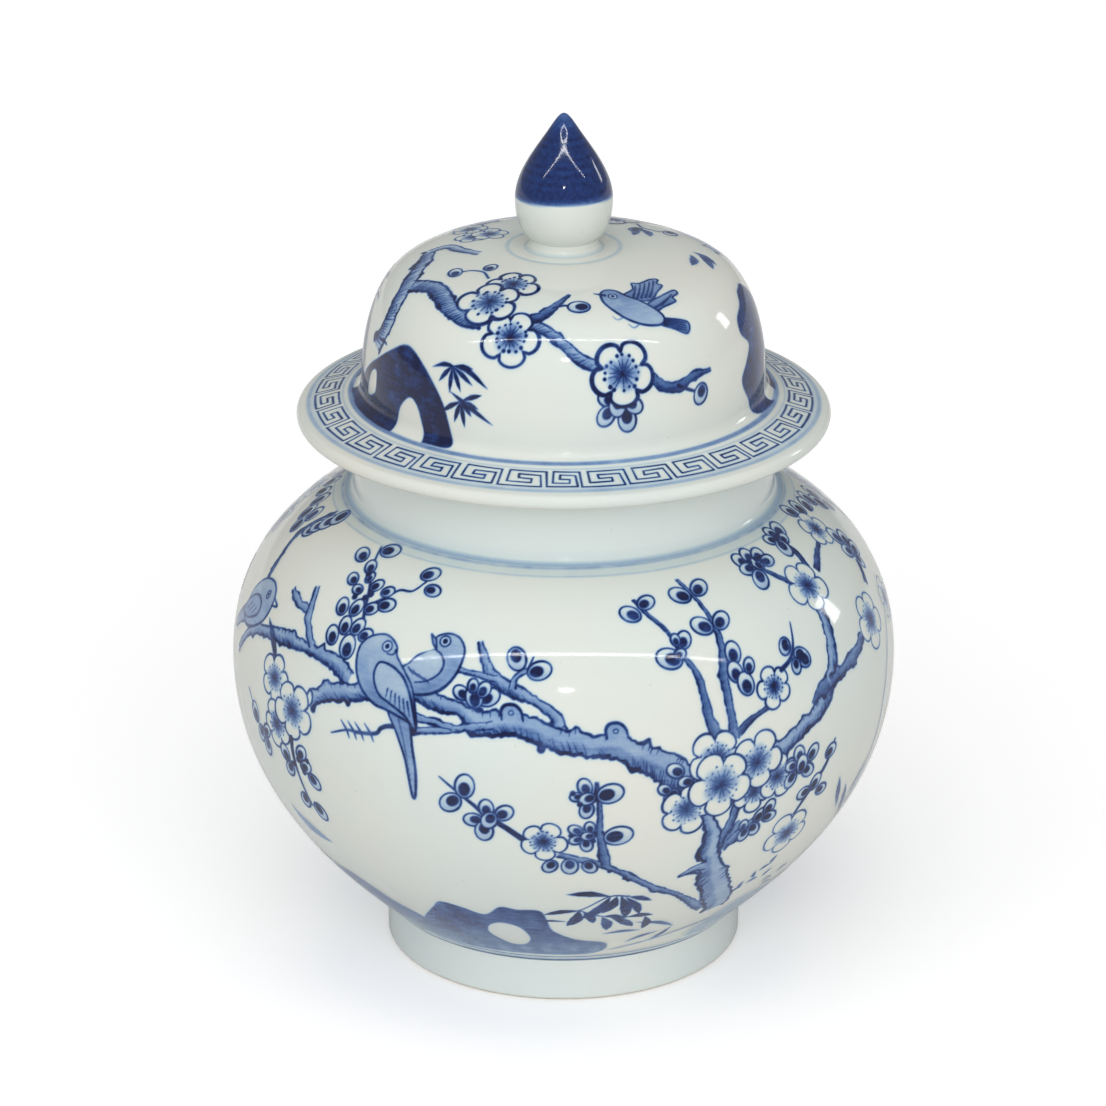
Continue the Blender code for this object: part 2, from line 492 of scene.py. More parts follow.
def branch(canvas, places, widths, bark=True, tone=0.32, hatch=(0.14, 0.56), rugged=1.0):
    """A limb: a wash that deepens to its lower side, knobbly dark edges and bark strokes."""
    line = smooth(places, per_span=8)
    scale = np.radians(canvas.radius_at(line[:, 1]))
    paces = np.hypot(np.diff(line[:, 0]) * scale[1:], np.diff(line[:, 1]))
    along = np.concatenate([[0.0], np.cumsum(paces)])
    count = max(5, int(along[-1] / 1.1))
    marks = np.linspace(0.0, along[-1], count)
    line = np.stack([np.interp(marks, along, line[:, 0]), np.interp(marks, along, line[:, 1])], axis=1)
    width = np.interp(np.linspace(0, 1, count), np.linspace(0, 1, len(widths)), widths)
    scale = np.radians(canvas.radius_at(line[:, 1]))
    run = np.gradient(line[:, 0]) * scale
    rise = np.gradient(line[:, 1])
    size = np.hypot(run, rise) + 1e-9
    side = np.stack([-rise / size / scale, run / size], axis=1)
    rough = rng.uniform(-1, 1, (2, count))
    rough = 0.6 * rough + 0.4 * np.roll(rough, 1, axis=1)
    knots = np.maximum(0.0, soften(rng.standard_normal((2, count)), 0.01, 1.2) * 2.4 - 1.1)
    swells = soften(rng.standard_normal((2, count)), 0.01, 3.5)
    calm = rugged * np.minimum(1.0, 6.5 / width)
    uneven = 0.24 * rough + 0.6 * swells + 0.6 * np.clip(knots, 0, 1.0)
    lift = (width / 2 * (1 + calm * uneven))[:, :, None]
    one, two = line + side * lift[0], line - side * lift[1]
    lower = one if one[:, 1].mean() < two[:, 1].mean() else two
    upper = two if lower is one else one
    wash(canvas, np.vstack([one, two[::-1]]), tone, straight=True)
    shade = lower * 0.55 + upper * 0.45
    wash(canvas, np.vstack([lower, shade[::-1]]), tone + 0.16, straight=True, soft=1.4)
    if bark:
        for i in range(1, count - 3):
            if swells[0, i] < -0.06 and rng.random() < 0.75 * rugged:
                continue
            deep = rng.uniform(*hatch)
            start = lower[i] * 0.96 + upper[i] * 0.04
            end = lower[i + 2] * (1 - deep) + upper[i + 2] * deep
            thick = rng.uniform(0.7, 1.1) * min(1.0, width[i] / 5.0)
            stroke(canvas, [start, end], (thick, 0.3), rng.uniform(0.78, 0.92))
            if rng.random() < 0.3:
                stroke(canvas, [upper[i], upper[i] * 0.75 + lower[i - 1] * 0.25], (0.8, 0.3), 0.86)
    heavy = np.clip(width / 6.0, 0.55, 1.0) * (1 + 0.8 * np.clip(knots[0], 0, 1))
    stroke(canvas, upper, heavy * rng.uniform(0.7, 1.3, count), 0.93, straight=True)
    stroke(canvas, lower, heavy * rng.uniform(0.9, 2.1, count), 0.95, straight=True)


def twig(canvas, places, widths=(1.3, 0.5), tone=0.9):
    stroke(canvas, places, widths, tone)


def sprig(canvas, tip, turn, size=9.0, leaves=5, tone=0.97):
    """A fan of bamboo leaves hanging from one point."""
    for k in range(leaves):
        angle = math.radians(turn + (k - (leaves - 1) / 2) * 34 + rng.uniform(-6, 6))
        long = size * rng.uniform(0.7, 1.1)
        path = [(0, 0), (0.5 * long * math.cos(angle), 0.5 * long * math.sin(angle)),
                (long * math.cos(angle), long * math.sin(angle) - 0.6)]
        leaf(canvas, canvas.place(tip, path), 1.9, tone)


def perch(canvas, centre, turn=0.0, wide=1.0, tall=1.0):
    """A function that scales a motif's own points, turns them and sets them down at a place."""
    def put(*points):
        return canvas.place(centre, [(x * wide, y * tall) for x, y in points], turn)
    return put


def ringed_eye(canvas, eye, size):
    outlined(canvas, canvas.place(eye, oval(size, size)), 0.14, None, 0.6, 0.92)
    dot(canvas, eye, size * 0.95, 0.97)


def long_tailed_bird(canvas, centre):
    """A perched bird seen from behind, its folded wing and long tail hanging down."""
    put = perch(canvas, centre)
    tail = put((7, -13), (11, -20.5), (14.5, -29), (16, -36.5), (17.3, -44.7), (18.4, -43.4), (18.8, -35),
               (17.6, -26), (15, -15))
    outlined(canvas, tail, 0.26, 0.44, (0.8, 1.0, 1.2, 0.8), 0.94)
    stroke(canvas, put((11, -14), (14.5, -25), (17, -38)), (0.8, 0.4), 0.7)
    skin = put((-2, 13), (2, 12), (5, 9.5), (6, 6.5), (10.5, 2), (15, -3.5), (17.5, -11), (18.5, -17.5),
               (15.5, -16), (6.5, -13.3), (1, -12.3), (-5, -8.5), (-9, -3), (-11, 3.3), (-10.6, 7.7),
               (-7.4, 11.2))
    outlined(canvas, skin, 0.40, 0.24, (0.7, 0.9, 1.1, 0.8), 0.92)
    shade = put((-9.5, 3), (-8, -2), (-4, -7.5), (1, -11), (7, -12.5), (3, -8), (-3, -3), (-6, 3))
    wash(canvas, shade, 0.48, 0.34, soft=2.2)
    wing = put((0.7, 3.1), (-1.3, 1.2), (-1.2, -3.2), (2.2, -8.4), (7.7, -11), (13.7, -14), (18.4, -18.6),
               (15.7, -8.5), (11.5, -1.3), (6.3, 2.1))
    outlined(canvas, wing, 0.38, 0.20, (0.9, 0.9, 1.2, 0.9), 0.94)
    for k in range(6):
        feather = put((5.5 + 1.7 * k, -5.8 - 0.6 * k), (5.2 + 2.1 * k, -9.0 - 1.0 * k))
        stroke(canvas, feather, (0.9, 0.4), 0.86)
    ringed_eye(canvas, put((0.7, 9.0))[0], 2.0)
    stroke(canvas, put((4.9, 8.6), (4.2, 6.6), (1.6, 6.4)), (0.9, 0.6), 0.92)


def plump_bird(canvas, centre):
    """A perched bird seen from the side, its head up and its breast low."""
    put = perch(canvas, centre)
    skin = put((-3.7, 8.8), (-2.2, 10.6), (1.6, 11.7), (5.7, 10.6), (8.6, 6.8), (8.5, 1.9), (6.8, -3.4),
               (3.2, -8.3), (-1.6, -11.2), (-7.5, -12.3), (-12, -11), (-13.4, -3.9), (-11.5, -2),
               (-8.5, 1.9), (-2.6, 5.2))
    wash(canvas, skin, 0.42, 0.24)
    shade = put((-7, -11), (-1, -9.5), (4, -5), (7, 1), (7.4, 5), (4.5, 3), (2, -4), (-4, -9))
    wash(canvas, shade, 0.52, 0.32, soft=2.4)
    stroke(canvas, skin, (0.7, 0.8, 1.3, 1.0, 0.7), 0.93, closed=True)
    wing = put((-2.5, 5), (0.3, 3.4), (1.9, 0.3), (0.8, -3.5), (-3.2, -6.7), (-7.6, -8), (-11, -7.1),
               (-13, -4), (-11, -1.5), (-8, 2))
    wash(canvas, wing, 0.30, 0.18)
    stroke(canvas, wing[:6], (0.7, 1.0, 0.6), 0.92)
    for k in range(4):
        feather = put((-11.5 + 2.2 * k, -3 - 0.9 * k), (-8.6 + 2.2 * k, -5.4 - 0.7 * k))
        stroke(canvas, feather, (0.5, 0.9, 0.3), 0.88)
    beak = put((-3.4, 8.8), (-5.9, 10.4), (-4.2, 7), (-2.1, 5))
    outlined(canvas, beak, 0.40, None, 0.7, 0.95, straight=True)
    ringed_eye(canvas, put((0.4, 8.6))[0], 2.0)


def resting_bird(canvas, centre):
    """A round bird at rest, its head drawn in over its breast."""
    put = perch(canvas, centre, wide=1.25)
    tail = put((-9, -4), (-13.5, -8.6), (-17, -14.5), (-14, -15), (-9, -10.6), (-5, -8))
    outlined(canvas, tail, 0.36, None, 0.9, 0.9)
    skin = put((-9, -2), (-8, 5), (-3.5, 10.6), (3, 12.4), (8, 10), (10, 4.6), (8.6, -1.4), (3, -6.4),
               (-3, -8.6), (-8, -7))
    outlined(canvas, skin, 0.36, 0.24, (0.7, 0.9, 1.2, 0.9), 0.86)
    wing = put((-10.5, -6), (-7, 1), (-2, 4), (2.6, 2.6), (3, -1.4), (-1.6, -5), (-6, -6.6))
    outlined(canvas, wing, 0.44, 0.30, (0.7, 1.1, 0.8), 0.88)
    for k in range(3):
        stroke(canvas, put((-7 + 2.4 * k, -4), (-4.6 + 2.4 * k, -0.4)), (0.4, 0.9), 0.8)
    stroke(canvas, put((8.6, 8.6), (13, 6.6), (9.6, 5.4)), (0.6, 1.0, 0.6), 0.92)
    ringed_eye(canvas, put((4.2, 7.4))[0], 1.5)


def flying_bird(canvas, centre, turn, size):
    """A small bird on the wing, its tail spread behind it."""
    put = perch(canvas, centre, turn, size, size)
    tail = put((9, -9), (12, -9.5), (21, -12), (20, -17), (14.5, -14.5), (9, -12))
    near = put((-3, 5), (4, 10), (6, 15), (10, 14.4), (18, 16.5), (22, 15.5), (19, 12.5), (20.5, 10.5),
               (15, 6.5), (8, 1))
    far = put((6, -2), (12, 2), (23, 5.8), (24, 3.6), (20, 1.6), (20, -1), (13, -3.5), (9, -5.5))
    for shape in (tail, far, near):
        outlined(canvas, shape, 0.56, 0.34, 0.8, 0.92)
    for k in range(5):
        stroke(canvas, put((1.5 + 2.0 * k, 3.4), (7 + 3.0 * k, 13 + 0.5 * k)), (1.3, 0.6), 0.86)
        plume = put((8 + 1.2 * k, -4.0 + 0.5 * k), (13 + 2.0 * k, -1.6 + 1.3 * k))
        stroke(canvas, plume, (1.3, 0.6), 0.86)
    for k in range(4):
        stroke(canvas, put((11, -10 - 0.8 * k), (20, -12.4 - 1.2 * k)), (1.2, 0.7), 0.9)
    skin = put((-13, 7.4), (-9.8, 10.2), (-5, 9.4), (-1.4, 5.6), (3.6, 1.8), (8.4, -3.4), (11.4, -8.5),
               (10, -12), (4, -12.4), (-2.6, -10), (-8, -5.4), (-12.6, 1))
    outlined(canvas, skin, 0.24, 0.44, (0.8, 0.9, 1.1), 0.93)
    stroke(canvas, put((-16.5, 7), (-11.5, 6)), (0.4, 1.6), 0.96)
    ringed_eye(canvas, put((-7.6, 5.2))[0], 1.6)


def rock(canvas, outline, holes=(), tone=0.80, top=0.70):
    """A standing rock laid in with a loaded brush, pierced by holes."""
    wash(canvas, outline, tone, top, soft=0.8)
    places = np.array(outline)
    for _ in range(16):
        up = rng.uniform(places[:, 1].min(), places[:, 1].max())
        left = rng.uniform(places[:, 0].min(), places[:, 0].max() - 6)
        index = canvas.window([(left, up), (left + 8, up)], 0.5)
        if index is not None and canvas.ink[index[0][0], index[1][0] % canvas.columns] > 0.6:
            stroke(canvas, [(left, up), (left + 4, up + 0.8), (left + 7, up + 0.3)], (0.4, 1.6, 0.4), 0.93)
    for hole in holes:
        wash(canvas, hole, 0.0, soft=0.8)


def ring_line(canvas, up, width, tone):
    """A line drawn on the wheel, all the way round."""
    drift = np.cumsum(rng.standard_normal(canvas.columns))
    drift -= np.linspace(0.0, drift[-1], canvas.columns)
    drift = soften(drift[None, :], 0.1, 20)[0]
    drift = drift / (np.abs(drift).max() + 1e-9) * 0.25
    gap = np.abs(canvas.up[:, None] - up - drift)
    cover = np.clip(0.5 + (width / 2 - gap) / 0.7, 0.0, 1.0)
    canvas.ink = np.maximum(canvas.ink, tone * cover)


def soften(field, rows, cols):
    """A Gaussian blur by rows and cols cells, wrapping round the jar."""
    pad = int(4 * rows) + 1
    tall = np.pad(field, ((pad, pad), (0, 0)), mode="edge")
    fy = np.fft.fftfreq(tall.shape[0])[:, None]
    fx = np.fft.rfftfreq(tall.shape[1])[None, :]
    keep = np.exp(-2 * math.pi ** 2 * ((rows * fy) ** 2 + (cols * fx) ** 2))
    return np.fft.irfft2(np.fft.rfft2(tall) * keep, s=tall.shape)[pad:-pad]


def fire(canvas):
    """Let the cobalt pool and bleed a little under the glaze."""
    cells = 1.0 / canvas.step
    pooling = soften(rng.standard_normal(canvas.ink.shape), 2.2 * cells, 2.2 * cells)
    streaks = soften(rng.standard_normal(canvas.ink.shape), 0.3 * cells, 3.0 * cells)
    uneven = 1.0 + 0.07 * pooling / pooling.std() + 0.04 * streaks / streaks.std()
    ink = np.clip(soften(canvas.ink, 0.42, 0.42) * np.clip(uneven, 0.6, 1.4), 0.0, 1.05)
    bleed = soften(canvas.ink, 0.9 * cells, 0.9 * cells)
    canvas.ink = ink + 0.20 * bleed * np.clip(1.0 - ink, 0.0, 1.0)


# ---------------------------------------------------------------- the paintings

def birds_and_plum(c):
    """Two birds on an old plum branch, with a tree, a garden rock and bamboo."""
    # the limb above the old branch, and its stubs
    branch(c, [(-1, 137), (-1.5, 142), (-4, 146), (-7, 149.5), (-10, 152), (-13, 156), (-14.5, 161),
        (-16, 167)], (5, 4, 3.6, 4.6, 5.6, 3.6, 2.6, 1.6))
    branch(c, [(-12, 154), (-15, 155), (-19, 156)], (2.6, 2))
    branch(c, [(-9, 151.5), (-8.6, 155), (-6.6, 158)], (1.8, 1.4), bark=False)
    twig(c, [(-6.6, 158), (-5.6, 163)], (1, 0.5))
    buds(c, [(-8.7, 162, 4.4, 200), (-4.4, 158, 4.4, -70)])
    buds(c, [(-18, 148, 3.2, 60), (-13, 147.5, 4.2, -60), (-15.6, 147, 4.2, 20), (-14, 150, 3.2, -30),
        (-16, 151, 2.6, 0)])
    # the upper arm, running far left, with its forked stub
    branch(c, [(-40, 144), (-45, 148.5), (-51, 149.5), (-56, 148.5), (-61, 147.5), (-67, 144.5),
        (-73, 139), (-77, 129)], (5.6, 5, 4.6, 4.4, 4.2, 3.2, 2.2))
    branch(c, [(-51, 150), (-54.5, 157), (-56, 161), (-60, 161.5), (-64, 164)], (3.6, 3.2, 2), bark=False)
    branch(c, [(-55, 158), (-56.2, 165), (-57.5, 170)], (2.8, 1.8), bark=False)
    # the old branch from the tree, running left behind the birds to a cut stub
    branch(c, [(22, 112), (18.8, 117.5), (15.5, 123), (12, 127), (8.5, 129.8), (4, 131.2), (0, 132.6),
        (-4.3, 135.6), (-9, 138.6), (-14, 138.8), (-18, 142), (-24, 144.5), (-30, 144.5), (-36, 141.5),
        (-42, 138), (-48, 132.5)], (11, 10.4, 9.6, 8.4, 7.4, 7.6, 6.6, 5.6, 5, 4.6, 4.8, 5.2, 5.4))
    stroke(c, c.place((-48.3, 132), oval(1.6, 2.9)), 0.9, 0.94, closed=True)
    for degrees, up in ((8.6, 136), (-9, 142.5)):
        knot = c.place((degrees, up), [(-3.2, -2.6), (-3.6, 0.6), (-2.2, 2.6), (1.2, 2.8), (3.6, 0.6),
            (4.4, -2.6)])
        wash(c, knot, 0.34)
        stroke(c, knot, (0.9, 1.4, 1.2, 0.9), 0.94)
        stroke(c, c.place((degrees, up), oval(0.9, 0.8)), 0.6, 0.85, closed=True)
    # thin thorny twigs under the birds
    branch(c, [(-12, 137.5), (-15, 136.5), (-19, 134.5), (-24, 132.5), (-27, 131.5)], (3, 3, 1.8))
    twig(c, [(-26, 131.5), (-30, 131.6), (-32, 130), (-33, 127.5), (-36.5, 126), (-39, 125.6),
        (-42.5, 122.5)], (2, 1.6, 1.4, 0.5))
    branch(c, [(-26.5, 138), (-24, 136.5), (-19, 135.5)], (2.4, 2.2), bark=False)
    for degrees, up in ((-29, 131.5), (-34, 127), (-36, 126.4), (-37.5, 126), (-39, 125.6)):
        twig(c, [(degrees, up), (degrees - 1.4, up + 3)], (1.2, 0.4))
        twig(c, [(degrees, up), (degrees + 0.6, up - 2.8)], (1.2, 0.4))
    # buds climbing past the left bird's head
    twig(c, [(-40, 161), (-42, 168), (-44, 177), (-48, 188), (-50, 195)], (1.5, 1.2, 0.8))
    twig(c, [(-42, 172), (-39, 177), (-37, 181), (-34, 182), (-32, 187)], (1.3, 0.8))
    buds(c, [(-50, 179, 3, 60), (-48, 186, 3.2, 40), (-47, 176, 2.6, 80), (-46, 182, 2.4, 0),
        (-48, 168, 3.6, 30), (-44.5, 169.5, 3.6, -10), (-41, 171, 3.2, -60), (-43, 180, 3, -40),
        (-39.5, 179, 2.8, -60), (-38, 174, 3.6, -70), (-53, 189, 3.8, 60), (-46.5, 195, 4.2, -70),
        (-32, 190.5, 3.8, -60), (-29.5, 184, 3.3, -100), (-47, 157, 3.8, 30), (-45, 162, 3.6, 15),
        (-42, 163, 3.6, -25), (-39.5, 161, 3.2, -60), (-42.5, 155, 4.6, 10)])
    dots(c, ((-46.5, 173), (-44, 174), (-43, 176), (-47, 183)), 2.6, 0.9)
    plump_bird(c, (-23, 157))
    long_tailed_bird(c, (-34.4, 150.4))
    # far left: a small bird, its twig and the blossoms below
    branch(c, [(-75, 158), (-77, 168), (-79, 177), (-78.6, 186), (-76, 195)], (2.2, 1.8, 1), bark=False,
        tone=0.6)
    resting_bird(c, (-73.6, 148.6))
    leaf(c, [(-66.5, 150), (-62.6, 145), (-58.8, 137)], 3.6, 0.84)
    for degrees, up, size, turn in ((-76.5, 183, 3.8, 130), (-75.6, 186.6, 4.2, 140),
            (-74, 190.6, 4.6, 160), (-72.4, 195, 4.4, 170), (-84, 180, 4.4, 20), (-87, 184.5, 4.6, 10),
            (-83, 187, 4.2, 0), (-89.6, 190, 4.4, -10)):
        bud(c, (degrees, up), size, turn)
        dot(c, (degrees, up), 0.9 * size, 0.96)
    blossoms(c, [(-59, 132, 9.6, 40), (-57.5, 115, 9.2, 10), (-52.6, 124, 11.6, 18)])
    twig(c, [(-53, 113), (-53, 108), (-52.6, 102), (-51.8, 95), (-50.5, 86)], (2.2, 1.6, 0.9))
    buds(c, [(-55.5, 105, 3.6, 30), (-54.6, 99, 3.4, 150), (-50.5, 108.5, 3.6, -40),
        (-49.6, 103.5, 3.4, -60), (-47.8, 98.5, 3.6, -130), (-52.2, 87, 3.6, 160), (-48.4, 84.5, 4, -150),
        (-66, 113, 4, 20), (-64, 106, 3.6, 160), (-61.5, 109, 3.2, -40), (-62, 102, 3.6, 170)])
    dots(c, ((-51.6, 105), (-50.4, 100.6), (-53.4, 102), (-49, 106.4)), 2.4, 0.95)
    twig(c, [(-69, 120), (-66, 113), (-63, 104)], (0.8, 0.6), 0.8)
    leaf(c, [(-60, 78), (-56, 71), (-49.5, 67.5)], 6.5, 0.44)
    # the garden rock, its hole and the ground behind it
    wash(c, [(-84, 14), (-80, 34), (-70, 43), (-60, 46), (-52, 48), (-46.5, 43), (-42, 36), (-36, 29),
        (-31, 20), (-40, 10), (-60, 8)], 0.46, 0.62, soft=1.2)
    rock(c, [(-46, 8), (-38, 24), (-32.5, 36), (-29, 44), (-26.5, 49.5), (-22, 48.5), (-17, 45),
        (-13, 52.5), (-9.5, 51.5), (-5, 51.5), (-3.6, 44), (-2.4, 34), (3, 25), (11, 19), (9, 8),
        (-10, 7), (-30, 6)], holes=[[(-18, 27), (-17.2, 35), (-14, 39), (-10, 36), (-8.2, 26),
        (-10, 18.5), (-14, 18)]], tone=0.52, top=0.80)
    for k in range(9):
        leaf(c, c.place((-62 + 2.4 * k, 40 - 1.2 * k), [(0, 0), (-4, 4), (-8, 9)]), 2.4, 0.7)
    # a low twig across the front
    branch(c, [(31.6, 40), (27, 49), (22.5, 57.6), (19, 61.6), (15.6, 67), (11, 75), (6.4, 80.4),
        (3.6, 83), (-1, 86)], (3.2, 3, 2.6, 2.6, 2.2), tone=0.42)
    branch(c, [(7.4, 80), (6.6, 88), (6, 98), (6, 106), (5.4, 117)], (3.4, 2, 1.4, 0.9), bark=False,
        tone=0.5)
    twig(c, [(-7, 93), (-10, 98), (-13, 102), (-15, 106), (-18, 111), (-21, 116)], (2.6, 1.8, 0.6))
    buds(c, [(-13, 105.5, 3.6, 0), (-10, 104, 3.8, -50), (-15.4, 100, 3.6, 100), (-13.6, 95.5, 4.4, 170),
        (-16.6, 113.5, 4.8, -10), (-19.2, 106.2, 4.6, 130), (-12.6, 100.4, 3.8, 150)])
    blossom(c, (-3.6, 92), 8.8, 25)
    buds(c, [(1, 80, 4, 180), (-2.5, 80, 3.4, 150), (4.5, 79.5, 3.4, -150)])
    buds(c, [(9.2, 94.2, 5.4, -80), (7.6, 112.4, 5, -75)])
    buds(c, [(3.4, 115.5, 3.4, 20), (2, 111.5, 2.4, 90), (3.7, 106, 3.4, 170), (4.3, 98.5, 2.6, 10),
        (1.9, 97.5, 2.8, 60), (2, 93, 2.6, 110), (3.8, 90.5, 3, 190), (4, 94.6, 2.6, 90),
        (3.8, 110.6, 3.2, 110)])
    dots(c, ((1.4, 113), (2.6, 108.5), (4.9, 92.4), (1.2, 95)), 2.2, 0.95)
    for low, middle, high, wide in (((9, 61.2), (5, 63.4), (0.4, 63.4), 3.6),
            ((9, 61), (7, 52), (3.4, 45), 4.8), ((10.2, 61), (9.6, 55), (7.8, 49), 4.4),
            ((11, 61), (12.6, 52), (13.1, 44), 4.6), ((12.6, 60), (15, 58.4), (17.6, 55.5), 3),
            ((12, 60), (14.6, 53), (16, 46), 3.6), ((3, 52), (-0.6, 51), (-4.2, 48.5), 3),
            ((3, 52), (2.6, 45), (0.6, 39), 4.8), ((4, 50), (5.6, 46), (6.4, 41), 3.8),
            ((8, 46.4), (10.6, 46), (13.4, 43), 3), ((8, 46), (9.4, 40), (9.8, 33.5), 4.4),
            ((10, 45), (13.4, 40), (15.8, 35), 4), ((13.6, 44.5), (16.4, 45), (19.4, 43.4), 2.8),
            ((17.6, 43), (18.8, 37), (18.6, 31), 3.6)):
        leaf(c, [low, middle, high], wide, 0.88)
    for left, middle, right in (((16, 38.6), (22, 35), (27.4, 28)), ((24, 25), (20, 23), (16, 17.5)),
            ((27, 28), (25.6, 21), (23, 15)), ((9, 29.5), (13.5, 31), (18.5, 30))):
        leaf(c, [left, middle, right], 2.8, 0.62)
    twig(c, [(-4, 48.6), (3, 52), (8.6, 61), (12.6, 60.4)], (0.5, 0.9), 0.85)
    twig(c, [(3, 52), (8, 46.6), (17, 43.4)], (0.7, 0.9), 0.85)
    # the tree at the right with its crowded blossoms
    branch(c, [(32, 92), (30.6, 86), (29, 80)], (2.6, 3.4, 3.6), tone=0.46)
    branch(c, [(30, 103), (29.8, 96), (29, 88), (27.6, 82)], (3, 3.4, 3.8), tone=0.46)
    branch(c, [(38, 94), (35, 91), (32.5, 88), (30, 83)], (2.4, 3.2, 3.6), tone=0.46)
    branch(c, [(36, 36), (35, 43), (32.8, 51), (30.4, 60), (28.4, 68), (27.6, 76), (26.6, 84), (25.8, 92),
        (24.4, 100)], (11, 12.5, 12, 11.6, 10.4, 7.8, 6.2, 5.4, 5), tone=0.30)
    branch(c, [(26.6, 73), (24.4, 72.4), (21.6, 69)], (4.6, 2.6, 0.8), bark=False)
    stroke(c, [(21.6, 69), (24.6, 69.6), (26, 68)], (0.5, 1.6, 1), 0.94)
    buds(c, [(35.8, 92.5, 3.4, -40), (37.6, 95, 3.4, -20), (38, 90.5, 3.2, -90), (35, 86.5, 3.4, -150),
        (33, 85, 3.2, 170), (32.6, 89.6, 2.6, 0)])
    # shoots rising from the crown of the tree
    branch(c, [(27, 127), (25, 137), (24.5, 145), (24, 153), (22, 161), (20, 171), (17, 178), (15, 184)],
        (3.6, 2.8, 2.4, 1.2, 1, 0.8), bark=False, tone=0.5)
    branch(c, [(29.5, 127), (29, 140), (29, 150), (30, 160), (30, 172), (28.5, 182), (26.5, 190)],
        (3.6, 2.8, 3.2, 2.2, 1.2, 0.8), tone=0.5)
    buds(c, [(17.5, 182.5, 3.6, -60), (13.6, 178.5, 4, 60), (23, 166, 3.6, -30), (19.4, 160, 5, 70),
        (21.4, 166.5, 2.4, 0), (21.6, 161, 2.6, -60), (25.5, 183.5, 4.2, 60), (30.6, 185, 4, -50),
        (27.6, 170, 4.4, 60), (32, 170.5, 4, -50), (32, 158, 4.2, -10), (31.4, 151, 4, 10),
        (33, 146, 4.4, 10), (34.5, 152, 3, -20)])
    branch(c, [(30.4, 129), (33, 133), (37.5, 136)], (3, 1.8, 1.4), bark=False, tone=0.6)
    blossom(c, (38.6, 142), 8.2, 0)
    twig(c, [(41, 147), (43.6, 149.5), (45.4, 154), (47, 162)], (2, 1.4, 0.5))
    buds(c, [(43.4, 154.6, 3.4, 150), (46.6, 148.6, 4.4, 40), (44.6, 146.4, 3, 170)])
    for degrees, up, size in ((43.6, 154.4, 3.4), (46.2, 149.6, 4.4)):
        dot(c, (degrees, up), size, 0.9)
    # the right-hand limb, forking twice
    branch(c, [(36, 114.5), (38.5, 118), (42.5, 122), (46.8, 126), (49.8, 131), (51.5, 136), (54, 142),
        (55.2, 149.5), (56.2, 156), (56.4, 163)], (7.5, 7, 5.6, 4.8, 5.2, 6.6, 4.6, 3.8, 3.4, 2.6))
    branch(c, [(52.4, 135.4), (57, 137.4), (61.6, 140), (65.4, 144)], (5.6, 4.6, 3.8, 2.8), tone=0.50)
    for degrees, up, size in ((48.6, 132.6, 2.6), (50.4, 130.6, 2.2), (52.6, 137.4, 3),
            (50.4, 135.4, 2.4)):
        dot(c, (degrees, up), size, 0.66)
    branch(c, [(51.5, 136), (49, 134.6), (46.8, 131)], (5, 4, 1), bark=False, tone=0.60)
    for shoot in ([(56, 172), (52.4, 177), (49, 184)], [(61, 177), (61.8, 184), (61, 190)],
            [(63, 174), (67, 178), (73, 181)], [(77, 156), (79, 160), (80, 164)]):
        branch(c, shoot, (2, 1.8, 1.2), bark=False, tone=0.72)
    buds(c, [(45.2, 190.5, 4, 30), (48, 191.4, 3.8, 0), (50.8, 190, 3.8, -40), (52, 186.6, 3.4, -80),
        (45.2, 186.6, 3.6, 90), (46.4, 181, 4.4, 150), (48.6, 187, 3, 20), (64.4, 194.5, 4.2, -40),
        (61, 195, 3.4, 20), (58.6, 193, 3.2, 60), (62.8, 190.6, 3, -60), (60, 187.6, 4.2, 170),
        (76, 196, 3.8, 20), (81, 193.5, 4, -20), (86, 191, 4, -50)])
    dots(c, ((47, 189), (49.4, 189), (50.4, 187), (60.4, 192), (62, 193), (80, 191.6), (84, 189)), 2.8,
        0.96)
    blossom(c, (57, 171), 10.6, 8, 0.6)
    blossom(c, (76.5, 184), 8.8, 30, 0.55)
    blossom(c, (71, 146), 11.2, 12, 0.6)
    blossom(c, (84.5, 143), 8.6, 40, 0.5)
    buds(c, [(80.5, 176, 4.4, 10), (83.4, 172, 4.2, -40), (79.6, 169, 3.8, 60), (84, 166.4, 4, -70),
        (81.6, 162.4, 3.4, 190)])
    # blossoms crowding the crown of the tree, the largest in front
    buds(c, [(18.6, 119, 3.6, 60), (20.4, 114, 3, 90), (18, 109, 3.4, 140), (16.8, 112, 2.8, 60)])
    blossoms(c, [(20.8, 102.4, 10.8, 40), (33.6, 104, 8.6, 20), (38.4, 107.5, 9.6, 50),
        (26, 121, 11.4, 22), (34, 116, 11.6, 30), (27, 110.5, 13.2, 14)])
